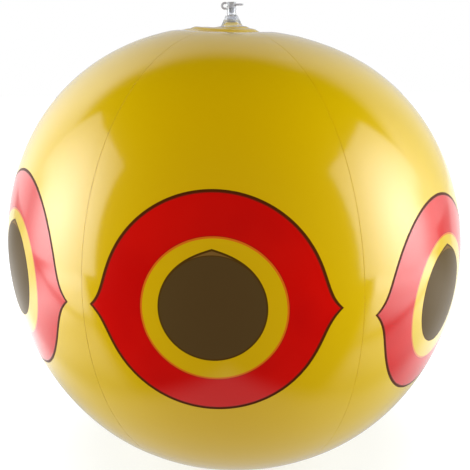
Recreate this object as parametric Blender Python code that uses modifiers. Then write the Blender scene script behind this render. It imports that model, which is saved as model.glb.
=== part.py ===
"""Bird scare balloon: a printed vinyl ball of six welded gore panels, hung by the neck of its valve.

Metres, +Z up. The origin is on the valve's axis at the neck, the step under the stem where the hanging
twine is tied. The panel with its eye to the front faces -Y.
"""

import math

import bmesh
import bpy
import numpy as np

mm = 0.001

# The inflated ball
ball_radius = 200 * mm
panel_count = 6
film = 0.3 * mm
clearance = 0.3 * mm
seam_width = 3 * mm
lap_ramp = 1.2 * mm
seam_draw = 1.2 * mm
# How far the ball leaves a true sphere: fuller shoulders and flatter poles, by the cosine of twice, four
# times and six times the latitude, and a little fuller below than above, by the sine of three times it
shoulder_share = 0.0111
flat_pole_share = -0.0099
sag_share = 0.0051
ripple_share = 0.0016
crease_power_share = 4
# The crown: the panels' upper ends lie down flat round the end disc
crown_drop = 4.2 * mm
crown_radius = 38 * mm
crown_reach = 65 * mm
crown_power_share = 4

# The end discs, welded over the panels' ends. The upper one swells to a low cap inside its weld, and is
# drawn up to a tent by the valve
disc_radius = 35 * mm
disc_weld = 7 * mm
cap_height = 2.4 * mm
cap_power_share = 6
tent_height = 3 * mm
tent_radius = 12 * mm
dome_height = 4 * mm
contact_radius = 15 * mm

# The valve moulding
stem_radius = 4 * mm
stem_height = 6.2 * mm
bore_radius = 3.3 * mm
bore_mouth = 0.2 * mm
collar_radius = 4.3 * mm
collar_height = 1.6 * mm
bell_height = 7.9 * mm
shoulder_radius = 5.7 * mm
shoulder_round = 1.1 * mm
neck_fillet = 0.5 * mm
bell_radius = 9 * mm
bell_wall = 0.8 * mm
flange_radius = 13 * mm
flange_thickness = 0.5 * mm
tube_reach = 6 * mm

# The check flap under the tube
flap_radius = 4 * mm
flap_hinge_offset = 3.8 * mm
flap_thickness = 0.5 * mm

# The stopper
head_height = 4.6 * mm
head_radius = 3.9 * mm
seat_radius = 4.1 * mm
waist_radius = 3.4 * mm
rim_height = 1.3 * mm
rim_round = 0.35 * mm
plug_radius = 3 * mm
plug_depth = 4 * mm
nose_radius = 1.9 * mm
plug_middle_radius = 2.6 * mm
nose_round = 0.5 * mm
hollow_radius = 1.7 * mm
hollow_depth = 6 * mm
tab_reach = 10.2 * mm
tab_width = 4.4 * mm
tab_thickness = 1.6 * mm
tab_round = 0.3 * mm

# The strap between stem and stopper
strap_reach = 8.2 * mm
strap_width = 3 * mm
strap_thickness = 1.3 * mm
strap_drop = 0.8 * mm
strap_round = 0.3 * mm

# Facet counts
ring_count = 21
crown_rings = 4
panel_columns = 7
disc_sides = 32
valve_sides = 28
stopper_sides = 24
arc_steps = 4
strap_steps = 14

panel_turn = 2 * math.pi / panel_count
lap_lift = film + clearance
disc_lift = 2 * lap_lift


def swollen_radius(latitude):
    """Distance from the ball's centre to the panels' outer face at a latitude."""
    swell = (
        1
        + shoulder_share * np.cos(2 * latitude)
        + flat_pole_share * np.cos(4 * latitude)
        + sag_share * np.sin(3 * latitude)
        + ripple_share * np.cos(6 * latitude)
    )
    return ball_radius * swell


def latitude_at(reach, pole):
    """Latitude at which the ball is as wide as reach, towards the upper pole (1) or the lower one (-1)."""
    latitudes = np.linspace(math.pi / 2, math.pi / 4, 400) * pole
    return float(np.interp(reach, swollen_radius(latitudes) * np.cos(latitudes), latitudes))


def crown(reach):
    """Depth by which the film lies below the ball's own shape at the crown, a flat-topped bell curve."""
    return crown_drop * np.exp(-((reach / crown_radius) ** crown_power_share))


def film_height(reach, pole, lift):
    """Height above the ball's centre of a surface that lies lift outside the panels, near a pole."""
    latitude = latitude_at(reach, pole)
    height = (swollen_radius(latitude) + lift) * math.sin(latitude)
    return height - (crown(reach) if pole > 0 else 0)


def top_height(reach):
    """Height above the ball's centre of the top disc's outer face: its weld, its cap and its tent."""
    inside_weld = min(reach / (disc_radius - disc_weld), 1)
    cap = cap_height * (1 - inside_weld**cap_power_share)
    tent = tent_height * math.exp(-((reach / tent_radius) ** 2))
    return film_height(reach, 1, disc_lift) + cap + tent


ball_centre = -(bell_height + clearance + top_height(bell_radius))


def ball_point(latitude, azimuth, lift):
    """A point on the ball's skin. Each seam draws the skin in, by the fourth power across the panel."""
    across = (azimuth + math.pi / 2 + panel_turn / 2) % panel_turn / panel_turn * 2 - 1
    crease = seam_draw * abs(across) ** crease_power_share * math.cos(latitude)
    radius = swollen_radius(latitude) - crease + lift
    reach = radius * math.cos(latitude)
    height = radius * math.sin(latitude)
    if latitude > 0:
        height -= crown(reach)
    return reach * math.cos(azimuth), reach * math.sin(azimuth), ball_centre + height


def arc(centre, radius, start, end, steps=arc_steps):
    """Points along an arc in the profile plane, from the angle start to end in degrees."""
    angles = np.radians(np.linspace(start, end, steps + 1))
    return [(centre[0] + radius * math.cos(a), centre[1] + radius * math.sin(a)) for a in angles]


def new_collection(name):
    collection = bpy.data.collections.new(name)
    bpy.context.scene.collection.children.link(collection)
    return collection


def finish(name, colour, roughness, alpha=1.0):
    """A plastic finish of one colour."""
    material = bpy.data.materials.new(name)
    material.use_nodes = True
    shader = material.node_tree.nodes["Principled BSDF"]
    shader.inputs["Base Color"].default_value = (*colour, 1.0)
    shader.inputs["Roughness"].default_value = roughness
    shader.inputs["Metallic"].default_value = 0.0
    shader.inputs["Alpha"].default_value = alpha
    return material


def add_object(name, mesh, material, collection):
    """Put a mesh in the scene under its sub-part's name, shaded smooth but for its sharp edges."""
    mesh.name = name
    mesh.materials.clear()
    mesh.materials.append(material)
    mesh.shade_smooth()
    mesh.set_sharp_from_angle(angle=math.radians(35))
    piece = bpy.data.objects.new(name, mesh)
    collection.objects.link(piece)
    return piece


def turned(name, profile, sides, material, collection):
    """A profile of (radius, height) points turned once about the vertical axis."""
    mesh = bpy.data.meshes.new(name)
    edges = [(i, i + 1) for i in range(len(profile) - 1)]
    if profile[0] == profile[-1]:
        profile = profile[:-1]
        edges[-1] = (len(profile) - 1, 0)
    mesh.from_pydata([(radius, 0, height) for radius, height in profile], edges, [])
    piece = add_object(name, mesh, material, collection)
    screw = piece.modifiers.new("Turn", "SCREW")
    screw.steps = sides
    screw.render_steps = sides
    screw.use_merge_vertices = True
    screw.merge_threshold = 0.00001
    return piece


def thicken(piece, thickness, offset):
    solidify = piece.modifiers.new("Film", "SOLIDIFY")
    solidify.thickness = thickness
    solidify.offset = offset
    solidify.use_even_offset = True


def round_edges(piece, width, segments=2):
    bevel = piece.modifiers.new("Rounded edges", "BEVEL")
    bevel.width = width
    bevel.segments = segments
    bevel.limit_method = "ANGLE"
    bevel.angle_limit = math.radians(50)


def wrapped_sheet(name, columns, rows, place, material, collection):
    """A flat grid whose point in a given column and row is laid where place says."""
    sheet = bmesh.new()
    bmesh.ops.create_grid(sheet, x_segments=columns, y_segments=rows, size=0.5)
    for vertex in sheet.verts:
        column = round((vertex.co.x + 0.5) * columns)
        row = round((vertex.co.y + 0.5) * rows)
        vertex.co = place(column, row)
    mesh = bpy.data.meshes.new(name)
    sheet.to_mesh(mesh)
    sheet.free()
    return add_object(name, mesh, material, collection)


def flat_outline(name, points, thickness, edge_round):
    """A plate of the given outline and thickness, made as a filled curve and turned into a mesh."""
    curve = bpy.data.curves.new(name, "CURVE")
    curve.dimensions = "2D"
    curve.fill_mode = "BOTH"
    curve.extrude = thickness / 2 - edge_round
    curve.bevel_depth = edge_round
    curve.bevel_resolution = 1
    curve.offset = -edge_round
    spline = curve.splines.new("POLY")
    spline.points.add(len(points) - 1)
    for point, (x, y) in zip(spline.points, points):
        point.co = (x, y, 0, 1)
    spline.use_cyclic_u = True
    holder = bpy.data.objects.new(name, curve)
    bpy.context.scene.collection.objects.link(holder)
    bpy.context.view_layer.update()
    graph = bpy.context.evaluated_depsgraph_get()
    mesh = bpy.data.meshes.new_from_object(holder.evaluated_get(graph))
    bpy.data.objects.remove(holder)
    weld = bmesh.new()
    weld.from_mesh(mesh)
    bmesh.ops.remove_doubles(weld, verts=weld.verts, dist=0.00001)
    bmesh.ops.recalc_face_normals(weld, faces=weld.faces)
    weld.to_mesh(mesh)
    weld.free()
    return mesh


def gore_panel(number, material, collection):
    """One sixth of the ball. Its left edge lies flat, and its right edge steps up over the next panel's
    left edge for the width of the weld. The seams keep their width from pole to pole.
    """
    crown_edge = latitude_at(crown_reach, 1)
    bottom_rim = latitude_at(disc_radius, -1)
    crown_reaches = np.linspace(crown_reach, disc_radius, crown_rings)[1:]
    latitudes = [
        latitude_at(disc_radius - disc_weld, -1),
        *np.linspace(bottom_rim, crown_edge, ring_count),
        *(latitude_at(reach, 1) for reach in crown_reaches),
        latitude_at(disc_radius - disc_weld, 1),
    ]
    half_weld = seam_width / 2
    middle = -math.pi / 2 + (number - 1) * panel_turn

    def place(column, row):
        latitude = latitudes[row]
        reach = float(swollen_radius(latitude)) * math.cos(latitude)
        width = panel_turn * reach
        steps = [
            (clearance - half_weld, 0),
            *((s, 0) for s in np.linspace(half_weld, width - half_weld - lap_ramp, panel_columns + 1)),
            (width - half_weld, lap_lift),
            (width + half_weld, lap_lift),
        ]
        along, lift = steps[column]
        return ball_point(latitude, middle - panel_turn / 2 + along / reach, lift)

    name = f"gore_panel_{number}"
    panel = wrapped_sheet(name, panel_columns + 3, len(latitudes) - 1, place, material, collection)
    thicken(panel, film, -1)
    return panel


def top_disc(material, collection):
    """The upper end disc. Inside the bell its film domes up round the hole for the valve's tube."""
    hole = stem_radius + clearance
    dome_foot = bell_radius - bell_wall - clearance
    weld_edge = disc_radius - disc_weld
    profile = []
    for reach in [*np.linspace(hole, dome_foot, 5)[:-1], *np.linspace(dome_foot, weld_edge, 9)]:
        dome = dome_height * (1 - min(reach / dome_foot, 1) ** 2) ** 2
        profile.append((float(reach), ball_centre + top_height(reach) + dome))
    profile.append((disc_radius, ball_centre + top_height(disc_radius)))
    disc = turned("top_disc", profile, disc_sides, material, collection)
    thicken(disc, film, -1)
    return disc


def bottom_disc(material, collection):
    """The lower end disc, closed, and pressed flat in the middle where the ball stands."""
    profile = []
    for reach in np.linspace(disc_radius, contact_radius, 6):
        profile.append((float(reach), ball_centre + film_height(reach, -1, disc_lift)))
    profile.append((0, profile[-1][1]))
    disc = turned("bottom_disc", profile, disc_sides, material, collection)
    thicken(disc, film, -1)
    return disc


def seat(reach):
    """Height of the flange's underside, which follows the film with its clearance."""
    return ball_centre + top_height(reach) + clearance


def tube_end():
    return seat(bell_radius) - tube_reach


def valve_body(material, collection):
    """Stem, bell, flange and inner tube of clear plastic, turned in one."""
    shoulder = (shoulder_radius - shoulder_round, -shoulder_round)
    neck = (stem_radius + neck_fillet, neck_fillet)
    collar_foot = stem_height - collar_height
    bell_foot = seat(bell_radius) + flange_thickness
    flange_reaches = np.linspace(flange_radius, bell_radius - bell_wall, 4)
    inner_shoulder = shoulder_round - bell_wall / 2
    profile = [
        (collar_radius - bore_mouth, stem_height),
        (collar_radius, stem_height - bore_mouth),
        (collar_radius, collar_foot),
        (stem_radius, collar_foot - bore_mouth),
        *arc(neck, neck_fillet, 180, 270, 2),
        *arc(shoulder, shoulder_round, 90, 15),
        (bell_radius, bell_foot),
        (flange_radius, seat(flange_radius) + flange_thickness),
        *((float(r), seat(r)) for r in flange_reaches),
        (bell_radius - bell_wall, bell_foot),
        *arc((shoulder[0] - bell_wall / 2, -bell_wall - inner_shoulder), inner_shoulder, 15, 90, 2),
        (stem_radius, -bell_wall),
        (stem_radius, tube_end()),
        (bore_radius, tube_end()),
        (bore_radius, stem_height - bore_mouth),
        (bore_radius + bore_mouth, stem_height),
        (collar_radius - bore_mouth, stem_height),
    ]
    return turned("valve_body", profile, valve_sides, material, collection)


def check_flap(material, collection):
    """The non-return flap: a round flap with one straight side, its hinge, under the tube's end."""
    half = math.degrees(math.acos(-flap_hinge_offset / flap_radius))
    points = arc((0, 0), flap_radius, -half, half, 20)
    mesh = flat_outline("check_flap", points, flap_thickness, 0)
    flap = add_object("check_flap", mesh, material, collection)
    hinge = bpy.data.objects.new("check_flap_hinge", None)
    collection.objects.link(hinge)
    hinge.location = (-flap_hinge_offset, 0, tube_end() - clearance)
    flap.parent = hinge
    flap.location = (flap_hinge_offset, 0, -flap_thickness / 2)
    return flap


def strap_pivot():
    """Where the strap bends: the middle of its loop, at the far side from the stem."""
    low = stem_height - strap_drop
    high = stem_height + clearance + head_height - strap_thickness / 2
    return -strap_reach, (low + high) / 2, (high - low) / 2


def stopper(material, shapes, collection):
    """A hollow head with a finger tab over a tapered plug, whose round nose swings clear of the bore."""
    foot = stem_height + clearance
    top = foot + head_height
    nose = foot - clearance - plug_depth
    hollow_floor = top - hollow_depth
    profile = [
        (0, hollow_floor),
        (hollow_radius, hollow_floor),
        (hollow_radius, top),
        *arc((head_radius - rim_round, top - rim_round), rim_round, 90, 0, 2),
        (head_radius, top - rim_height),
        (waist_radius, top - rim_height - rim_round),
        (waist_radius, foot + rim_height + rim_round),
        (seat_radius, foot + rim_height),
        (seat_radius, foot),
        (plug_radius, foot),
        (plug_middle_radius, foot - plug_depth / 2),
        *arc((nose_radius - nose_round, nose + nose_round), nose_round, 0, -90, 2),
        (0, nose),
    ]
    pivot_x, pivot_z, _ = strap_pivot()
    hinge = bpy.data.objects.new("stopper_hinge", None)
    collection.objects.link(hinge)
    hinge.location = (pivot_x, 0, pivot_z)
    profile = [(radius, height - pivot_z) for radius, height in profile]
    piece = turned("stopper", profile, stopper_sides, material, collection)
    piece.parent = hinge
    piece.location = (-pivot_x, 0, 0)

    half = tab_width / 2
    root = (waist_radius + hollow_radius) / 2
    outline = [(root, -half), *arc((tab_reach - half, 0), half, -90, 90, 8), (root, half)]
    tab = add_object("finger_tab", flat_outline("finger_tab", outline, tab_thickness, tab_round), material, shapes)
    tab.location = (0, 0, foot + head_height / 2)
    tab.hide_render = True
    tab.display_type = "WIRE"
    union = piece.modifiers.new("Finger tab", "BOOLEAN")
    union.operation = "UNION"
    union.object = tab
    return piece


def stopper_strap(material, collection):
    """A flat loop of a strap from the stem's collar out and up to the stopper's head."""
    pivot_x, pivot_z, bend = strap_pivot()
    centre_x = pivot_x + bend
    low_end = -(collar_radius + clearance)
    high_end = -(head_radius + clearance)
    route = [
        (low_end, pivot_z - bend),
        *arc((centre_x, pivot_z), bend, 270, 90, strap_steps - 2),
        (high_end, pivot_z + bend),
    ]

    def place(column, row):
        x, z = route[column]
        return x, (row - 0.5) * strap_width, z

    strap = wrapped_sheet("stopper_strap", strap_steps, 1, place, material, collection)
    thicken(strap, strap_thickness, 0)
    round_edges(strap, strap_round)
    return strap


def build():
    for old in list(bpy.data.objects):
        bpy.data.objects.remove(old)
    collection = new_collection("bird_scare_balloon")
    shapes = new_collection("bird_scare_balloon_shapes")
    panel_film = finish("printed_film", (0.78, 0.62, 0.01), 0.14)
    disc_film = finish("plain_film", (0.78, 0.62, 0.01), 0.16)
    clear = finish("clear_plastic", (0.80, 0.81, 0.80), 0.12, 0.45)
    soft_clear = finish("soft_clear_plastic", (0.74, 0.75, 0.75), 0.2, 0.6)
    for number in range(1, panel_count + 1):
        gore_panel(number, panel_film, collection)
    top_disc(disc_film, collection)
    bottom_disc(disc_film, collection)
    valve_body(clear, collection)
    check_flap(soft_clear, collection)
    stopper(soft_clear, shapes, collection)
    stopper_strap(soft_clear, collection)


build()
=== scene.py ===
"""Looks of a bird scare balloon: a glossy yellow vinyl ball with a clear plastic valve, printed with eyes.

Metres, +Z up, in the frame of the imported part: the origin is at the neck of the valve, on its axis.
"""

import math

import bmesh
import bpy
import numpy as np
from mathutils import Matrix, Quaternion, Vector


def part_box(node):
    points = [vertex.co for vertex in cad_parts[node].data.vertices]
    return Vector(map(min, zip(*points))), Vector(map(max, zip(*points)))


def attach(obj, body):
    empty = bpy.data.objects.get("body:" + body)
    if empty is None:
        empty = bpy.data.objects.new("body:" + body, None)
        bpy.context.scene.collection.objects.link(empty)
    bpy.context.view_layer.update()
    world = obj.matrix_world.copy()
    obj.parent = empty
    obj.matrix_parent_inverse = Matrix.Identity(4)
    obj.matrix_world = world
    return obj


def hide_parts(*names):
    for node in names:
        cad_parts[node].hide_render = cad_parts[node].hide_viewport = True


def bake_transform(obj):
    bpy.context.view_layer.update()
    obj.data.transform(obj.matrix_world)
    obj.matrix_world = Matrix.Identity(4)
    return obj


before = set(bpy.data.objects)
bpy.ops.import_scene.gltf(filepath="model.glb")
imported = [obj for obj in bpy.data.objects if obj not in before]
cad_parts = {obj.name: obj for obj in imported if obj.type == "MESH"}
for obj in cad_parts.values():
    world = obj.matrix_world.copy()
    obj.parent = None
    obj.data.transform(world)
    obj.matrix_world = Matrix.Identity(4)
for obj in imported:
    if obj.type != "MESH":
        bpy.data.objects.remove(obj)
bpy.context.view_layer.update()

# The six gore panels are cut from soft vinyl film, printed flat with one eye each, and welded side by side.
# Each panel's right edge laps over its neighbour's left edge, which is pressed in under it. Air alone gives
# the ball its shape.
mm = 0.001
ball_radius = 200 * mm
panel_count = 6
panel_turn = 2 * math.pi / panel_count
film = 0.15 * mm
lap_gap = 0.03 * mm
lap_depth = film + lap_gap
disc_lift = 0.08 * mm
seam_width = 3 * mm
half_weld = seam_width / 2
lap_ramp = 0.35 * mm
edge_strip = 0.04 * mm
seam_draw, crease_power = 0.25 * mm, 4
pucker_height, pucker_length, pucker_reach = 0.03 * mm, 15 * mm, 9 * mm
pucker_wander, wander_turns = 5, 3
shoulder_share, flat_pole_share, sag_share, ripple_share = 0.0111, -0.0099, 0.0051, 0.0016
crown_drop, crown_radius, crown_power = 4.2 * mm, 38 * mm, 4
disc_radius, disc_weld = 35 * mm, 7 * mm
weld_edge = disc_radius - disc_weld
cap_height, cap_start, cap_end = 2.2 * mm, 24.5 * mm, 31.5 * mm
tent_height, tent_radius, tent_power = 2.6 * mm, 21 * mm, 3
flange_radius = 13 * mm
contact_radius = 15 * mm
outline_steps = 800
eye_latitudes = (2.9, -3.45, 0.6, 1.4, -0.8, 2.3)
eye_azimuths = (-1, -1.45, 0.5, -0.4, 0.3, 0.85)
eye_turns = (-0.2, -6.1, 0.6, -0.5, 0.4, -0.4)
eye_widths = (1, 0.95, 1, 1, 1, 0.95)


def swollen_radius(latitude):
    """The ball's radius at a latitude: fuller shoulders and flatter poles than a sphere, by the cosine of
    twice, four times and six times the latitude. The sine of three times it sets the halves apart."""
    swell = 1 + shoulder_share * np.cos(2 * latitude) + flat_pole_share * np.cos(4 * latitude)
    return ball_radius * (swell + sag_share * np.sin(3 * latitude) + ripple_share * np.cos(6 * latitude))


def latitude_at(reach, pole):
    """The latitude where the ball is as wide as reach, read off the outline towards one of its poles."""
    latitudes = np.linspace(math.pi / 2, math.pi / 4, outline_steps) * pole
    return np.interp(reach, swollen_radius(latitudes) * np.cos(latitudes), latitudes)


def crown(reach):
    """How far the film lies down round the top disc: a bell curve of the fourth power of the reach."""
    return crown_drop * np.exp(-((reach / crown_radius) ** crown_power))


def smooth(value, start, end):
    """0 before start and 1 after end, along three times the square less twice the cube between them."""
    share = np.clip((value - start) / (end - start), 0, 1)
    return share * share * (3 - 2 * share)


def film_height(reach, pole, lift):
    """Height over the ball's centre at a reach from the axis: radius and lift times the latitude's sine, less
    the crown's drop above."""
    latitude = latitude_at(reach, pole)
    height = (swollen_radius(latitude) + lift) * np.sin(latitude)
    return height - (crown(reach) if pole > 0 else 0)


def top_height(reach, lift):
    """Height of the top disc over the ball's centre: the film's height, a cap that falls smoothly at its
    weld, and a tent, a bell curve of the cube of the reach."""
    cap = cap_height * (1 - smooth(reach, cap_start, cap_end))
    return film_height(reach, 1, lift) + cap + tent_height * np.exp(-((reach / tent_radius) ** tent_power))


fuller_left, fuller_latitudes = 2.9 * mm, (-25, 45)
flatter_right, flatter_latitudes = 3.2 * mm, (-5, 65)
hollow_left, hollow_latitude, hollow_spread = 1.8 * mm, -34, 22
raised_right, sunk_left = 1.8 * mm, 0.9 * mm
raised_full, raised_radius, raised_power = 24 * mm, 55 * mm, 4
disc_shift, shift_inside, shift_outside = 5 * mm, (10 * mm, 24 * mm), (30 * mm, 63 * mm)
disc_tilt, tilt_full, tilt_outside = 0.07, 20 * mm, (26 * mm, 40 * mm)
cad_disc_lift = 1.2 * mm
ball_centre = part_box("bottom_disc")[0].z - float(film_height(contact_radius, -1, cad_disc_lift))


def relaxed(points):
    """Moves the film off the even shape, as on a real ball. Above, it is fuller on its left and flatter on
    its right, and below it is hollow on its left: by the cosine of the azimuth and its square, faded in over
    the latitude and out by the valve. The top disc with its cap sits left of the valve and tilts, and the
    film round it is higher on its right."""
    reach = np.hypot(points[..., 0], points[..., 1])
    latitude = np.degrees(np.arctan2(points[..., 2] - ball_centre, reach))
    above = latitude > 0
    east = points[..., 0] / np.maximum(reach, mm)
    left, right = (east * east - east) / 2, (east * east + east) / 2
    fuller = smooth(latitude, *fuller_latitudes) * smooth(reach, flange_radius, disc_radius)
    flatter = smooth(latitude, *flatter_latitudes) * smooth(reach, flange_radius, raised_radius)
    shift = fuller_left * left * fuller - flatter_right * right * flatter
    shift = shift - hollow_left * left * np.exp(-(((latitude - hollow_latitude) / hollow_spread) ** 2))
    outward = np.stack([points[..., 0], points[..., 1], points[..., 2] - ball_centre], axis=-1)
    outward = outward / np.linalg.norm(outward, axis=-1, keepdims=True)
    moved = points + outward * shift[..., None]
    moved[..., 0] -= disc_shift * smooth(reach, *shift_inside) * (1 - smooth(reach, *shift_outside)) * above
    lift = (raised_right * right - sunk_left * left) * smooth(reach, flange_radius, raised_full)
    lift = lift * np.exp(-((reach / raised_radius) ** raised_power))
    tilt = smooth(reach, flange_radius, tilt_full) * (1 - smooth(reach, *tilt_outside))
    moved[..., 2] += (lift - disc_tilt * points[..., 0] * tilt) * above
    return moved


class Value:
    """A number or colour in a shader. Sums, differences, products and quotients of two are Math nodes."""

    def __init__(self, shader, socket):
        self.shader = shader
        self.socket = socket

    def math(self, operation, *others):
        """The value put through a Math node, with the others as its further values."""
        return self.shader.node("ShaderNodeMath", {"operation": operation}, (self, *others))

    def __add__(self, other):
        return self.math("ADD", other)

    def __sub__(self, other):
        return self.math("SUBTRACT", other)

    def __rsub__(self, other):
        return self.math("MULTIPLY", -1) + other

    def __mul__(self, other):
        return self.math("MULTIPLY", other)

    def __truediv__(self, other):
        return self.math("DIVIDE", other)

    def rise(self, start, end):
        """0 before start and 1 after end, smoothly between them."""
        values = {"Value": self, "From Min": start, "From Max": end}
        return self.shader.node("ShaderNodeMapRange", {"interpolation_type": "SMOOTHSTEP"}, values)

    def peak(self, middle, width):
        """1 at middle, falling as a bell curve of the given width on both sides."""
        away = (self - middle) / width
        return (away * away * -1).math("EXPONENT")

    __radd__ = __add__
    __rmul__ = __mul__


class Shader:
    """The nodes of a material or of the world."""

    def __init__(self, owner):
        owner.use_nodes = True
        self.tree = owner.node_tree
        self.tree.nodes.clear()

    def put(self, socket, value):
        """Links a value to a socket, or sets the socket to a plain number or colour."""
        if isinstance(value, Value):
            self.tree.links.new(value.socket, socket)
        else:
            socket.default_value = value

    def node(self, kind, settings, values, output=0):
        """A new node of a kind with its settings, and then the values of its sockets by name or in order."""
        node = self.tree.nodes.new(kind)
        for name, setting in settings.items():
            setattr(node, name, setting)
        for key, value in values.items() if isinstance(values, dict) else enumerate(values):
            self.put(node.inputs[key], value)
        return Value(self, node.outputs[output])

    def mix(self, share, first, second):
        """The first colour, turning into the second as share goes from 0 to 1."""
        return self.node("ShaderNodeMix", {"data_type": "RGBA"}, {0: share, 6: first, 7: second}, 2)

    def scaled(self, colour, strength):
        """A colour times a number."""
        return self.node("ShaderNodeVectorMath", {"operation": "SCALE"}, {0: colour, "Scale": strength})

    def show(self, kind, surface):
        """Links the surface to an output node of a kind."""
        output = self.tree.nodes.new(kind)
        self.put(output.inputs["Surface"], surface)


def ink(red, green, blue):
    """A colour written as screen values from 0 to 255, made linear."""
    screen = np.array([red, green, blue]) / 255
    linear = np.where(screen > 0.04045, ((screen + 0.055) / 1.055) ** 2.4, screen / 12.92)
    return (*(float(part) for part in linear), 1)


def plastic(name, values):
    """A new plastic material with these values, its shader, and the sockets for what varies over it."""
    material = bpy.data.materials.new(name)
    shader = Shader(material)
    surface = shader.node("ShaderNodeBsdfPrincipled", {}, values)
    shader.show("ShaderNodeOutputMaterial", surface)
    return material, shader, surface.socket.node.inputs


merge_distance = 0.001 * mm
sharp_angle = math.radians(40)


def add_grid(name, points, closed, body, material, uv=None):
    """A piece with four-sided faces over a grid of points. A closed grid's last column meets its first.
    Points that fall together, as at a pole, are merged."""
    rows, columns = points.shape[:2]
    number = np.arange(rows * columns).reshape(rows, columns)
    left = number if closed else number[:, :-1]
    right = np.roll(number, -1, axis=1) if closed else number[:, 1:]
    faces = np.stack([left[:-1], right[:-1], right[1:], left[1:]], axis=-1).reshape(-1, 4)
    mesh = bpy.data.meshes.new(name)
    mesh.from_pydata(points.reshape(-1, 3), [], faces)
    if uv is not None:
        layer = mesh.uv_layers.new(name="print")
        layer.data.foreach_set("uv", uv.reshape(-1, 2)[faces.reshape(-1)].astype(np.float32).reshape(-1))
    welded = bmesh.new()
    welded.from_mesh(mesh)
    bmesh.ops.remove_doubles(welded, verts=welded.verts, dist=merge_distance)
    welded.to_mesh(mesh)
    welded.free()
    mesh.shade_smooth()
    mesh.set_sharp_from_angle(angle=sharp_angle)
    mesh.materials.append(material)
    piece = bpy.data.objects.new(name, mesh)
    bpy.context.scene.collection.objects.link(piece)
    if body:
        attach(piece, body)
    return piece


def thicken(piece):
    """Gives a sheet the film's thickness on its inner side."""
    solidify = piece.modifiers.new("Film", "SOLIDIFY")
    solidify.thickness = film
    solidify.offset = -1
    solidify.use_even_offset = True


# The print, from each eye's centre outwards: pupil, ring and field, with thin dark outlines. The pupil has a
# low pointed roof, the ring is printed a little off the middle, and each ink bleeds softly into the next.
sheet_width = 640 * mm
pupil_radius, roof_share, roof_angle = 37.4 * mm, 0.1, math.radians(17)
ring_radius, ring_right, ring_down = 50.9 * mm, 0.9 * mm, 1.6 * mm
field_radius = 80.7 * mm
tip_share, tip_angle, tip_drop = 0.138, math.radians(6.1), 3.5 * mm
ink_bleed = 0.4 * mm
outline_foot, outline_dull, outline_inside, outline_outside = -1.9 * mm, -1.5 * mm, -1.3 * mm, 0.7 * mm
ring_inside, ring_middle, ring_outside = -0.9 * mm, 0.5 * mm, 1.2 * mm
roof_inside, roof_outside = -1.1 * mm, 0.3 * mm
pupil_inside, pupil_outside = -0.9 * mm, -0.2 * mm
film_yellow = ink(223, 188, 0)
field_red, field_grain, field_edge = ink(216, 8, 0), ink(206, 4, 0), ink(150, 30, 20)
outline_ink, ring_red, ring_orange = ink(84, 38, 8), ink(190, 8, 4), ink(226, 118, 20)
roof_line, roof_brown = ink(84, 58, 8), ink(128, 98, 48)
pupil_line, pupil_ink = ink(84, 60, 16), ink(88, 70, 38)
grain_scale, grain_spread = 9, (0.35, 0.7)
gloss, ink_dullness, red_dullness = 0.11, 0.3, 0.12
film_values = {
    "Base Color": film_yellow,
    "Roughness": ink_dullness,
    "IOR": 1.13,
    "Coat Weight": 1,
    "Coat Roughness": gloss,
    "Coat IOR": 1.46,
}


def past(distance, line):
    """0 before a line of the print and 1 past it, over the width that the ink bleeds."""
    return distance.rise(line, line + ink_bleed)


def printed_film():
    """The eye, from the distances to four outlines. Pupil and ring are circles. The field is a circle that
    swells to a tip at both sides, and the roof one that swells at the top, each by the exponential of minus
    the angle from its tip. The dark inks have no gloss, and the red has a little less than the film."""
    material, shader, inputs = plastic("printed_film", film_values)
    place = shader.node("ShaderNodeUVMap", {"uv_map": "print"}, ())
    axes = [shader.node("ShaderNodeSeparateXYZ", {}, (place,), axis) for axis in range(2)]
    east, north = [(axis - 0.5) * sheet_width for axis in axes]
    reach = (east * east + north * north).math("SQRT")
    low = north + tip_drop
    slope = low.math("ABSOLUTE").math("ARCTAN2", east.math("ABSOLUTE"))
    edge = reach / ((slope * (-1 / tip_angle)).math("EXPONENT") * tip_share + 1) - field_radius
    right, down = east - ring_right, north + ring_down
    ring = (right * right + down * down).math("SQRT") - ring_radius
    lean = east.math("ABSOLUTE").math("ARCTAN2", north)
    roof = reach / ((lean * (-1 / roof_angle)).math("EXPONENT") * roof_share + 1) - pupil_radius
    pupil = reach - pupil_radius
    speckle = {"Vector": place, "Scale": grain_scale}
    grain = shader.node("ShaderNodeTexNoise", {"noise_dimensions": "2D"}, speckle)
    colour = shader.mix(grain.rise(*grain_spread), field_red, field_grain)
    colour = shader.mix(past(edge, outline_foot), colour, field_edge)
    colour = shader.mix(past(edge, outline_inside), colour, outline_ink)
    colour = shader.mix(past(edge, outline_outside), colour, film_yellow)
    colour = shader.mix(1 - past(ring, ring_outside), colour, ring_red)
    colour = shader.mix(1 - past(ring, ring_middle), colour, ring_orange)
    colour = shader.mix(1 - past(ring, ring_inside), colour, film_yellow)
    colour = shader.mix(1 - past(roof, roof_outside), colour, roof_line)
    colour = shader.mix(1 - past(roof, roof_inside), colour, roof_brown)
    colour = shader.mix(1 - past(pupil, pupil_outside), colour, pupil_line)
    colour = shader.mix(1 - past(pupil, pupil_inside), colour, pupil_ink)
    outline = past(edge, outline_dull) * (1 - past(edge, outline_outside))
    red = (1 - past(edge, outline_foot)) * past(ring, ring_outside)
    dull = outline.math("MAXIMUM", 1 - past(roof, roof_outside)).math("MAXIMUM", red * red_dullness)
    shader.put(inputs["Coat Weight"], 1 - dull)
    shader.put(inputs["Base Color"], colour)
    return material


lower_bend, upper_bend = math.radians(-62), math.radians(58)
rows_below, rows_between, rows_above, columns = 26, 124, 64, 44
ramp_shares = np.array([-0.4, -0.1, *np.linspace(0, 1, 7), 1.1, 1.4])
least_span = 1e-9


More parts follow.
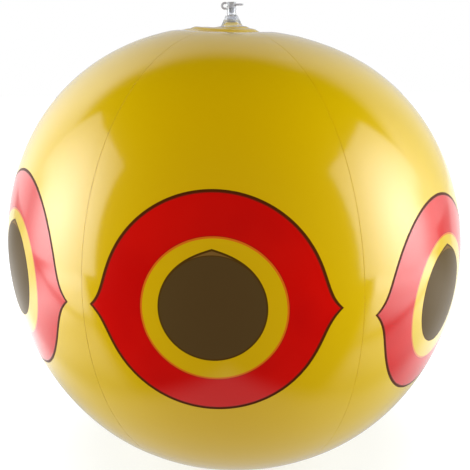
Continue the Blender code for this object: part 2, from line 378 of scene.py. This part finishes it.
def gore_panel(number, material):
    """One panel as a grid over its latitudes and across. Its left edge dips under the panel before it for the
    width of the weld. The film is drawn in at both seams, by a power of the share of the way to them, and its
    puckers, a wandering sine wave along the seam, fade out beside it as a bell curve. The print's own map is
    the distance and the bearing of each point from the eye's middle, over the ball."""
    middle = -math.pi / 2 + (number - 1) * panel_turn
    latitude = np.concatenate(
        [
            np.linspace(latitude_at(weld_edge, -1), lower_bend, rows_below)[:-1],
            np.linspace(lower_bend, upper_bend, rows_between)[:-1],
            np.linspace(upper_bend, latitude_at(weld_edge, 1), rows_above),
        ]
    )[:, None]
    reach = swollen_radius(latitude) * np.cos(latitude)

    # Across, the columns are the left edge, the ramp up from under the lap, the panel, and the right edge
    share = np.linspace(0, 1, columns)
    ramp = half_weld + lap_ramp * ramp_shares
    between = ramp[-1] + share * (-half_weld - ramp[-1])
    right_edge = [0, half_weld - edge_strip, half_weld]
    left, right = np.zeros(1 + len(ramp)), np.ones(len(right_edge))
    angle = np.concatenate([left, share, right]) * panel_turn - panel_turn / 2
    along = np.concatenate([[-half_weld], ramp, between, right_edge])
    lift = np.concatenate([[-1], smooth(ramp_shares, 0, 1) - 1, 0 * share, 0 * right]) * lap_depth
    offset = angle + along / reach
    across = np.clip(np.abs(offset) / (panel_turn / 2), 0, 1)
    crease = seam_draw * across**crease_power * np.cos(latitude)
    to_seam = (panel_turn / 2 - np.abs(offset)) * reach
    wander = pucker_wander * np.sin(latitude * wander_turns + middle)
    pucker = np.sin(2 * math.pi * latitude * ball_radius / pucker_length + wander)
    pucker = pucker_height * pucker * np.exp(-((to_seam / pucker_reach) ** 2))
    radius = swollen_radius(latitude) - crease + lift + pucker
    out = radius * np.cos(latitude)
    height = radius * np.sin(latitude) - np.where(latitude > 0, crown(out), 0)
    azimuth = middle + offset
    points = np.stack([out * np.cos(azimuth), out * np.sin(azimuth), height + ball_centre], axis=-1)

    eye = math.radians(eye_latitudes[number - 1])
    latitudes = latitude + 0 * offset
    aside = offset - math.radians(eye_azimuths[number - 1])
    level = np.cos(latitudes)
    toward = np.stack([level * np.sin(aside), np.sin(latitudes), level * np.cos(aside)])
    forward = toward[1] * math.sin(eye) + toward[2] * math.cos(eye)
    north = toward[1] * math.cos(eye) - toward[2] * math.sin(eye)
    span = np.maximum(np.hypot(toward[0], north), least_span)
    spread = np.arccos(np.clip(forward, -1, 1)) / span * ball_radius / sheet_width
    turn = math.radians(eye_turns[number - 1])
    east = toward[0] * math.cos(turn) + north * math.sin(turn)
    north = north * math.cos(turn) - toward[0] * math.sin(turn)
    uv = np.stack([east * spread / eye_widths[number - 1], north * spread], axis=-1) + 0.5
    panel = add_grid(f"panel_film_{number}", relaxed(points), False, "ball", material, uv)
    thicken(panel)
    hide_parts(f"gore_panel_{number}")


print_material = printed_film()
for number in range(1, panel_count + 1):
    gore_panel(number, print_material)

# The end discs are cut from the same film without a print, and welded round over the panels' tips. The upper
# one is drawn up by the valve and swells inside its bell. The lower one is pressed flat by the ball's weight.
dome_height = 4 * mm
bell_radius, bell_height, bell_wall = 9 * mm, 7.9 * mm, 0.5 * mm
clearance = 0.3 * mm
stem_radius, stem_gap = 4 * mm, 0.15 * mm
disc_sides, rings_above, rings_below = 120, 72, 18
rim_strip = 1 * mm


def turned(name, profile, sides, body, material, shift=relaxed):
    """A profile of radius and height, turned about the axis. The profile climbs on its outer side. Its points
    are then moved by the function shift, by default off the even shape."""
    profile = np.array(profile, float)
    angle = np.linspace(0, 2 * math.pi, sides, endpoint=False)
    reach, height = profile[:, :1], profile[:, 1:]
    points = np.stack([reach * np.cos(angle), reach * np.sin(angle), height + 0 * angle], axis=-1)
    return add_grid(name, shift(points) if shift else points, True, body, material)


plain_film = plastic("plain_film", {"Base Color": film_yellow, "Roughness": gloss, "IOR": 1.5})[0]

# Inside the bell the film rises to a dome: the square of one less the square of the share of its radius
dome_foot = bell_radius - bell_wall - clearance
rim = [disc_radius, disc_radius - edge_strip]
reaches = np.concatenate([rim, np.linspace(disc_radius - rim_strip, stem_radius + stem_gap, rings_above)])
dome = dome_height * (1 - np.minimum(reaches / dome_foot, 1) ** 2) ** 2
profile = np.stack([reaches, ball_centre + top_height(reaches, disc_lift) + dome], axis=-1)
upper_disc = turned("top_disc_film", profile, disc_sides, "ball", plain_film)
thicken(upper_disc)
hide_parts("top_disc")

# From the flat patch outwards the film climbs smoothly to its height at the weld
reaches = np.concatenate([np.linspace(contact_radius, disc_radius - rim_strip, rings_below), rim[::-1]])
heights = ball_centre + film_height(reaches, -1, disc_lift)
foot_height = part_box("bottom_disc")[0].z
pressed = 1 - smooth(reaches, contact_radius, disc_radius - rim_strip)
heights = heights - (heights[0] - foot_height) * pressed
profile = [(0, foot_height), (contact_radius / 2, foot_height), *zip(reaches, heights)]
lower_disc = turned("bottom_disc_film", profile, disc_sides, "ball", plain_film)
thicken(lower_disc)
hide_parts("bottom_disc")

# The valve body is one moulding of clear soft vinyl: a stem with a collar, a bell, a flange that is welded to
# the film, and a tube that reaches down into the ball.
stem_height = 6.2 * mm
bore_radius, mouth_round = 3.3 * mm, 0.3 * mm
collar_radius, collar_height, collar_slope = 4.3 * mm, 1.6 * mm, 0.3 * mm
shoulder_radius, shoulder_round, neck_fillet = 5.7 * mm, 1.1 * mm, 0.5 * mm
bell_slope = 15
roof_step = 0.1 * mm
flange_thickness, flange_middle, flange_edge = 0.25 * mm, 0.1 * mm, 0.03 * mm
foot_spread, foot_dip, foot_climb = 0.5 * mm, 0.05 * mm, 0.3 * mm
tube_reach = 6 * mm
valve_sides = 72


def arc(centre, radius, start, end, steps):
    """Points of an outline or a profile along an arc, from the angle start to end in degrees."""
    angles = np.radians(np.linspace(start, end, steps + 1))
    return [(centre[0] + radius * math.cos(a), centre[1] + radius * math.sin(a)) for a in angles]


def seat(reach):
    """Height of the flange's underside, just over the disc's film."""
    return ball_centre + float(top_height(reach, disc_lift)) + lap_gap


clear_values = {"Base Color": ink(232, 234, 238), "Roughness": 0.06, "IOR": 1.4, "Transmission Weight": 0.9}
clear_plastic = plastic("clear_plastic", clear_values)[0]
tube_end = -bell_height - tube_reach
bell_foot = seat(bell_radius) + flange_thickness
roof_round = shoulder_round - bell_wall / 2
roof = (shoulder_radius - shoulder_round - bell_wall / 2, -bell_wall - roof_round)
collar_foot = stem_height - collar_height
flange_centre = (flange_radius + bell_radius) / 2
profile = [
    (bore_radius, tube_end),
    (stem_radius, tube_end),
    (stem_radius, -bell_wall - roof_step),
    *arc(roof, roof_round, 90, bell_slope, 6),
    (bell_radius - bell_wall, bell_foot),
    *((r, seat(r)) for r in np.linspace(bell_radius - bell_wall, flange_radius, 6)),
    (flange_radius, seat(flange_radius) + flange_edge),
    (flange_centre, seat(flange_centre) + flange_middle),
    (bell_radius + foot_spread, bell_foot - foot_dip),
    (bell_radius, bell_foot + foot_climb),
    *arc((shoulder_radius - shoulder_round, -shoulder_round), shoulder_round, bell_slope, 90, 8),
    *arc((stem_radius + neck_fillet, neck_fillet), neck_fillet, 270, 180, 4),
    (stem_radius, collar_foot - collar_slope),
    (collar_radius, collar_foot),
    *arc((collar_radius - mouth_round, stem_height - mouth_round), mouth_round, 0, 90, 4),
    *arc((bore_radius + mouth_round, stem_height - mouth_round), mouth_round, 90, 180, 4),
    (bore_radius, tube_end),
]
moulding = turned("valve_moulding", profile, valve_sides, "ball", clear_plastic, shift=None)
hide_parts("valve_body")

# The check flap is a round tongue of thin soft vinyl, hinged by its root at the tube's lower end. It gives
# way to the air that is blown in, and the air in the ball presses it shut.
flap_radius, flap_hinge_offset, flap_thickness, flap_round = 4 * mm, 3.8 * mm, 0.5 * mm, 0.12 * mm
flap_sides = 48
soft_values = {"Base Color": ink(206, 209, 218), "Roughness": 0.2, "IOR": 1.4, "Transmission Weight": 0.5}


def plate(name, outline, low, high, edge_round, body, material):
    """A plate with rounded edges: the outline, drawn in by a quarter circle at the top and at the bottom,
    with its faces closed towards its middle."""
    outline = np.array(outline, float)
    centre = (outline.max(axis=0) + outline.min(axis=0)) / 2
    ahead, behind = np.roll(outline, -1, axis=0), np.roll(outline, 1, axis=0)
    along = ahead - behind
    along = along / np.linalg.norm(along, axis=1, keepdims=True)
    inward = np.stack([-along[:, 1], along[:, 0]], axis=1)
    turn = np.radians([-90, -60, -30, 0, 0, 30, 60, 90])
    height = np.repeat([low + edge_round, high - edge_round], 4) + edge_round * np.sin(turn)
    ring = outline + inward * (edge_round * (1 - np.cos(turn)))[:, None, None]
    layers = [centre + 0 * ring[:1], centre + (ring[:1] - centre) * 0.5, ring]
    layers += [centre + (ring[-1:] - centre) * 0.5, centre + 0 * ring[:1]]
    flat = np.concatenate(layers)
    heights = np.concatenate([[low, low], height, [high, high]])[:, None] + 0 * flat[..., 0]
    points = np.concatenate([flat, heights[..., None]], axis=-1)
    return add_grid(name, points, True, body, material)


soft_plastic = plastic("soft_clear_plastic", soft_values)[0]
half_turn = math.degrees(math.acos(-flap_hinge_offset / flap_radius))
outline = arc((0, 0), flap_radius, -half_turn, half_turn, flap_sides)
flap_top = tube_end - clearance
flap_foot = flap_top - flap_thickness
flap = plate(
    "flap", outline, flap_foot, flap_top, flap_round, "check_flap", soft_plastic
)
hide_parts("check_flap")

# The stopper is moulded with the valve from the softer vinyl: a hollow head with a finger tab, over a tapered
# plug that is pressed into the stem's bore.
head_height, head_radius, seat_radius, waist_radius = 4.6 * mm, 3.9 * mm, 4.1 * mm, 3.4 * mm
rim_height, rim_round = 1.3 * mm, 0.35 * mm
plug_radius, plug_middle_radius, plug_depth = 3 * mm, 2.6 * mm, 4 * mm
nose_radius, nose_round = 1.9 * mm, 0.5 * mm
hollow_radius, hollow_depth = 1.7 * mm, 6 * mm
tab_reach, tab_width, tab_thickness, tab_round = 10.2 * mm, 4.4 * mm, 1.6 * mm, 0.3 * mm
lip_round = 0.2 * mm
stopper_sides = 64

foot = stem_height + clearance
top = foot + head_height
nose = foot - clearance - plug_depth
hollow_floor = top - hollow_depth
profile = [
    (0, nose),
    *arc((nose_radius - nose_round, nose + nose_round), nose_round, -90, 0, 4),
    (plug_middle_radius, foot - plug_depth / 2),
    (plug_radius, foot),
    *arc((seat_radius - lip_round, foot + lip_round), lip_round, -90, 0, 3),
    (seat_radius, foot + rim_height - lip_round),
    (seat_radius - lip_round, foot + rim_height),
    (waist_radius, foot + rim_height + rim_round),
    (waist_radius, top - rim_height - rim_round),
    (head_radius, top - rim_height),
    *arc((head_radius - rim_round, top - rim_round), rim_round, 0, 90, 5),
    *arc((hollow_radius + lip_round, top - lip_round), lip_round, 90, 180, 3),
    (hollow_radius, hollow_floor + lip_round),
    (hollow_radius - lip_round, hollow_floor),
    (0, hollow_floor),
]
head = turned("stopper_moulding", profile, stopper_sides, None, soft_plastic, shift=None)

# The tab is a plate with straight sides and a round end, its root inside the head's wall
half_tab = tab_width / 2
root = (waist_radius + hollow_radius) / 2
sides = np.linspace(root, tab_reach - half_tab, 6)[:-1]
outline = [
    *((x, -half_tab) for x in sides),
    *arc((tab_reach - half_tab, 0), half_tab, -90, 90, 24),
    *((x, half_tab) for x in sides[::-1]),
]
tab_foot = foot + (head_height - tab_thickness) / 2
tab = plate("finger_tab", outline, tab_foot, tab_foot + tab_thickness, tab_round, None, soft_plastic)
union = head.modifiers.new("Finger tab", "BOOLEAN")
union.operation = "UNION"
union.solver = "EXACT"
union.object = tab
joined = bpy.data.meshes.new_from_object(head.evaluated_get(bpy.context.evaluated_depsgraph_get()))
head.modifiers.clear()
head.data = joined
bpy.data.objects.remove(tab)
joined.set_sharp_from_angle(angle=sharp_angle)
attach(head, "stopper")
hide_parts("stopper")

# The strap is a flat loop of the same soft moulding. It ties the stopper to the stem's collar. Its corners
# are well rounded.
strap_reach, strap_width, strap_thickness, strap_drop = 8 * mm, 3 * mm, 1.8 * mm, 0.5 * mm
side_power, face_power, end_share = 0.35, 0.5, 0.85
straight_steps, bend_steps, section_sides = 4, 32, 32
low = stem_height - strap_drop
high = stem_height + clearance + head_height - strap_thickness / 2
bend = (high - low) / 2
loop_x, loop_z = bend - strap_reach, (low + high) / 2
around = np.radians(np.linspace(270, 90, bend_steps + 1))

# Its route runs from the collar out to the left, round half a circle, and back to the head
out = np.linspace(-collar_radius - clearance, loop_x, straight_steps + 1)[:-1]
home = np.linspace(loop_x, -head_radius - clearance, straight_steps + 1)[1:]
route = np.concatenate(
    [
        np.stack([out, np.full(straight_steps, low)], axis=1),
        np.stack([loop_x + bend * np.cos(around), loop_z + bend * np.sin(around)], axis=1),
        np.stack([home, np.full(straight_steps, high)], axis=1),
    ]
)
along = np.gradient(route, axis=0)
along = along / np.linalg.norm(along, axis=1, keepdims=True)

# Its section is a circle whose cosine and sine are taken to powers below one, and both ends are closed
section = np.linspace(0, 2 * math.pi, section_sides, endpoint=False)
side = np.sign(np.cos(section)) * np.abs(np.cos(section)) ** side_power * strap_width / 2
thick = np.sign(np.sin(section)) * np.abs(np.sin(section)) ** face_power * strap_thickness / 2
route = np.concatenate([route[:1], route[:1], route, route[-1:], route[-1:]])
along = np.concatenate([along[:1], along[:1], along, along[-1:], along[-1:]])
size = np.concatenate([[0, end_share], np.ones(len(route) - 4), [end_share, 0]])[:, None]
points = np.stack(
    [
        route[:, :1] - along[:, 1:] * thick * size,
        side * size,
        route[:, 1:] + along[:, :1] * thick * size,
    ],
    axis=-1,
)
strap = add_grid("strap", points, True, None, soft_plastic)
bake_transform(strap)
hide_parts("stopper_strap")

# The studio: a white wall behind the ball, which its shoulders mirror, and which fades out towards the
# ceiling. To the camera it is plain white. A faint fill comes from the front.
wall_start, wall_top, wall_lean = (0.1, 0.26), (1, 1.68), 0.07
least_glow, left_glow, middle_glow, right_glow = 0.66, 1.05, 0.2, 1.2
left_start, middle_start, right_start = (0.1, 1.3), (0, 0.5), (0.9, 2.2)
fill_lean, back_fill, front_fill = 0.15, (0.06, 0.05, 0.04, 1), (0.9, 0.62, 0.5, 1)
black, white = (0, 0, 0, 1), (1, 1, 1, 1)
horizon = 0.001

world = bpy.data.worlds.new("studio")
bpy.context.scene.world = world
shader = Shader(world)
seen, mirrored, through = [
    shader.node("ShaderNodeLightPath", {}, (), ray)
    for ray in ("Is Camera Ray", "Is Glossy Ray", "Is Transmission Ray")
]
direction = shader.node("ShaderNodeTexCoord", {}, (), "Generated")
east, north, rise = [shader.node("ShaderNodeSeparateXYZ", {}, (direction,), axis) for axis in range(3)]
ahead = north.math("MAXIMUM", horizon)
side = east / ahead
wall = north.rise(*wall_start) * (1 - (rise / ahead + side * wall_lean).rise(*wall_top))
glow = side.rise(*right_start) * right_glow + (side * -1).rise(*left_start) * left_glow
glow = glow + side.rise(*middle_start) * middle_glow + least_glow
fill = shader.mix((north * -1 - rise * fill_lean).rise(0, 1), back_fill, front_fill)
light = shader.mix(mirrored, fill, shader.mix(wall, black, white))
light = shader.mix(seen.math("MAXIMUM", through), light, white)
light = shader.scaled(light, mirrored * (glow - 1) + 1)
shader.show("ShaderNodeOutputWorld", shader.node("ShaderNodeBackground", {}, {"Color": light, "Strength": 1}))


def stage_plane(name, size, place, turn, light):
    """A flat stage piece of one face. Its light is a function of its shader and of its own two axes."""
    half_x, half_y = size[0] / 2, size[1] / 2
    corners = [(-half_x, -half_y, 0), (half_x, -half_y, 0), (half_x, half_y, 0), (-half_x, half_y, 0)]
    mesh = bpy.data.meshes.new(name)
    mesh.from_pydata(corners, [], [(0, 1, 2, 3)])
    material = bpy.data.materials.new(name)
    shader = Shader(material)
    spot = shader.node("ShaderNodeTexCoord", {}, (), "Object")
    across, up = [shader.node("ShaderNodeSeparateXYZ", {}, (spot,), axis) for axis in range(2)]
    shader.show("ShaderNodeOutputMaterial", light(shader, across, up))
    mesh.materials.append(material)
    piece = bpy.data.objects.new(name, mesh)
    bpy.context.scene.collection.objects.link(piece)
    piece.location = place
    piece.rotation_mode = "QUATERNION"
    piece.rotation_quaternion = turn
    return piece


# The floor is a white sheet that glows with the pools of the two light panels. Its front edge lies just
# before the ball, and a dark gap runs aslant through the pools.
floor_size = (8, 8)
front_slope, front_start, front_glow = 1.1, (-0.42, -0.32), 0.6
pool_start, pool_glow = (0.2, 0.42), 1.4
back_slope, back_start, back_loss = 0.3, (0.1, 0.4), 0.8
near_start, near_glow, far_start, far_glow = (0.38, 0.7), 2.6, (0.7, 1.1), 2.2
beside_slope, beside_end = 0.15, (0, 0.3)
sheet_slope, sheet_start = 0.32, (-0.19, -0.13)
gap_slope, gap_skew, gap_place, gap_spread, gap_loss = 0.7, 0.13, -0.556, 0.04, 0.55
floor_glow, shade_end, shade_loss, dim_start, dim_loss = 0.76, (0.15, 0.5), 0.28, (1.5, 3), 0.5
seen_glow, seen_end, seen_gain = 0.72, (0.12, 0.3), 0.5
floor_grey = (0.3, 0.33, 0.4, 1)


def floor_light(shader, east, north):
    """What the floor gives off: to mirrored rays the pools, as sums and products of smooth steps, to other
    rays a glow that falls away from the ball, and to the camera white, but for a share that takes shadows."""
    camera = shader.node("ShaderNodeLightPath", {}, (), "Is Camera Ray")
    mirrored = shader.node("ShaderNodeLightPath", {}, (), "Is Glossy Ray")
    back = shader.node("ShaderNodeNewGeometry", {}, (), "Backfacing")
    aside = east.math("ABSOLUTE")
    reach = (east * east + north * north).math("SQRT")
    front = (north - aside * front_slope).rise(*front_start) * front_glow
    pool = reach.rise(*pool_start) * (pool_glow - (north + east * back_slope).rise(*back_start) * back_loss)
    beside = aside.rise(*near_start) * near_glow + aside.rise(*far_start) * far_glow
    pool = pool + beside * (1 - (north - east * beside_slope).rise(*beside_end))
    pool = pool * (north + aside * sheet_slope).rise(*sheet_start) + front
    gap = (north - aside * gap_slope - east * gap_skew).peak(gap_place, gap_spread)
    pool = pool * (1 - gap * gap_loss)
    spread = floor_glow - reach.rise(*shade_end) * shade_loss - reach.rise(*dim_start) * dim_loss
    pool = mirrored * pool + (1 - mirrored) * spread
    glow = shader.node("ShaderNodeEmission", {}, {"Color": pool, "Strength": 1})
    shown = reach.rise(*seen_end) * seen_gain + seen_glow
    shown = shader.node("ShaderNodeEmission", {}, {"Color": shown, "Strength": 1})
    matt = shader.node("ShaderNodeBsdfDiffuse", {}, {"Color": floor_grey})
    shown = shader.node("ShaderNodeAddShader", {}, (shown, matt))
    clear = shader.node("ShaderNodeBsdfTransparent", {}, ())
    lit = shader.node("ShaderNodeMixShader", {}, (camera, glow, shown))
    return shader.node("ShaderNodeMixShader", {}, (back, lit, clear))


stage_plane("floor", floor_size, (0, 0, foot_height - lap_gap), Quaternion(), floor_light)

# The light panels are upright soft boxes at both sides of the ball, each with one lamp behind its cloth.
panel_distance, panel_size, panel_rise, panel_turn_out = 1.5, (1.52, 2.36), 0.4, 86.5
panel_glow, panel_tint = 1.5, (0.8, 0.89, 0.84, 1)
lamp_glow, lamp_place, lamp_skew, lamp_height = 7, -0.2, 0.03, 0.31
lamp_length, lamp_tall, core_spread, right_gain = 0.6, 0.8, 0.25, 0.35
dim_back, dim_low, dim_fade, dim_share = (0.12, 0.5), 0.55, 0.3, 0.42
top_edge, top_slope, back_edge, back_fall = 1.46, 0.15, 0.66, 0.12
side_fade, foot_fade, top_fade, back_fade = 0.04, 0.05, 0.06, 0.08


def panel_light(shader, across, up):
    """What a light panel gives off: an even glow and a lamp, bell curves along it and up it, with a brighter
    core, less its lower back part. Past its soft edges, the upper ones cut at a slant, the panel is clear."""
    mirrored = shader.node("ShaderNodeLightPath", {}, (), "Is Glossy Ray")
    back = shader.node("ShaderNodeNewGeometry", {}, (), "Backfacing")
    place = shader.node("ShaderNodeNewGeometry", {}, (), "Position")
    east, north = [shader.node("ShaderNodeSeparateXYZ", {}, (place,), axis) for axis in range(2)]
    ahead = north - east * lamp_skew
    height = up + panel_rise
    lamp = ahead.peak(lamp_place, lamp_length) * height.peak(lamp_height, lamp_tall)
    lamp = lamp * (east * mirrored * right_gain + lamp_glow) + panel_glow
    lamp = lamp + ahead.peak(lamp_place, core_spread) * height.peak(lamp_height, core_spread)
    lamp = lamp * (1 - north.rise(*dim_back) * (dim_low - height).rise(0, dim_fade) * dim_share)
    edges = (panel_size[0] / 2 - across.math("ABSOLUTE")).rise(0, side_fade)
    edges = edges * (up + panel_size[1] / 2).rise(0, foot_fade)
    edges = edges * (north * top_slope + top_edge - height).rise(0, top_fade)
    edges = edges * (back_edge - north - height * back_fall).rise(0, back_fade)
    colour = shader.scaled(shader.mix(mirrored, panel_tint, white), lamp)
    front = shader.node("ShaderNodeEmission", {}, {"Color": colour, "Strength": 1})
    clear = shader.node("ShaderNodeBsdfTransparent", {}, ())
    return shader.node("ShaderNodeMixShader", {}, (back.math("MAXIMUM", 1 - edges), front, clear))


for name, turn in (("left_light_panel", -panel_turn_out), ("right_light_panel", panel_turn_out)):
    outward = Vector((math.sin(math.radians(turn)), -math.cos(math.radians(turn)), 0))
    place = outward * panel_distance + Vector((0, 0, ball_centre + panel_rise))
    panel = stage_plane(name, panel_size, place, (-outward).to_track_quat("Z", "Y"), panel_light)
    panel.visible_camera = False

# The camera stands as in the photo: a little to the right of the front eye, looking down on the ball, and
# rolled a little.
camera_distance = 0.72
camera_turn, camera_rise, camera_roll = math.radians(3.66), math.radians(15.6), math.radians(-0.9)
camera = bpy.data.cameras.new("camera")
camera.lens = 59.6
camera.sensor_width = 36
camera.shift_x = -0.0004
camera.shift_y = 0.0209
camera.clip_start, camera.clip_end = 0.01, 50
camera_object = bpy.data.objects.new("camera", camera)
bpy.context.scene.collection.objects.link(camera_object)
back = Vector(
    (
        math.sin(camera_turn) * math.cos(camera_rise),
        -math.cos(camera_turn) * math.cos(camera_rise),
        math.sin(camera_rise),
    )
)
camera_object.location = Vector((0, 0, ball_centre)) + back * camera_distance
camera_object.rotation_mode = "QUATERNION"
camera_object.rotation_quaternion = (-back).to_track_quat("-Z", "Y") @ Quaternion((0, 0, 1), camera_roll)
bpy.context.scene.camera = camera_object
bpy.context.scene.view_settings.view_transform = "Standard"
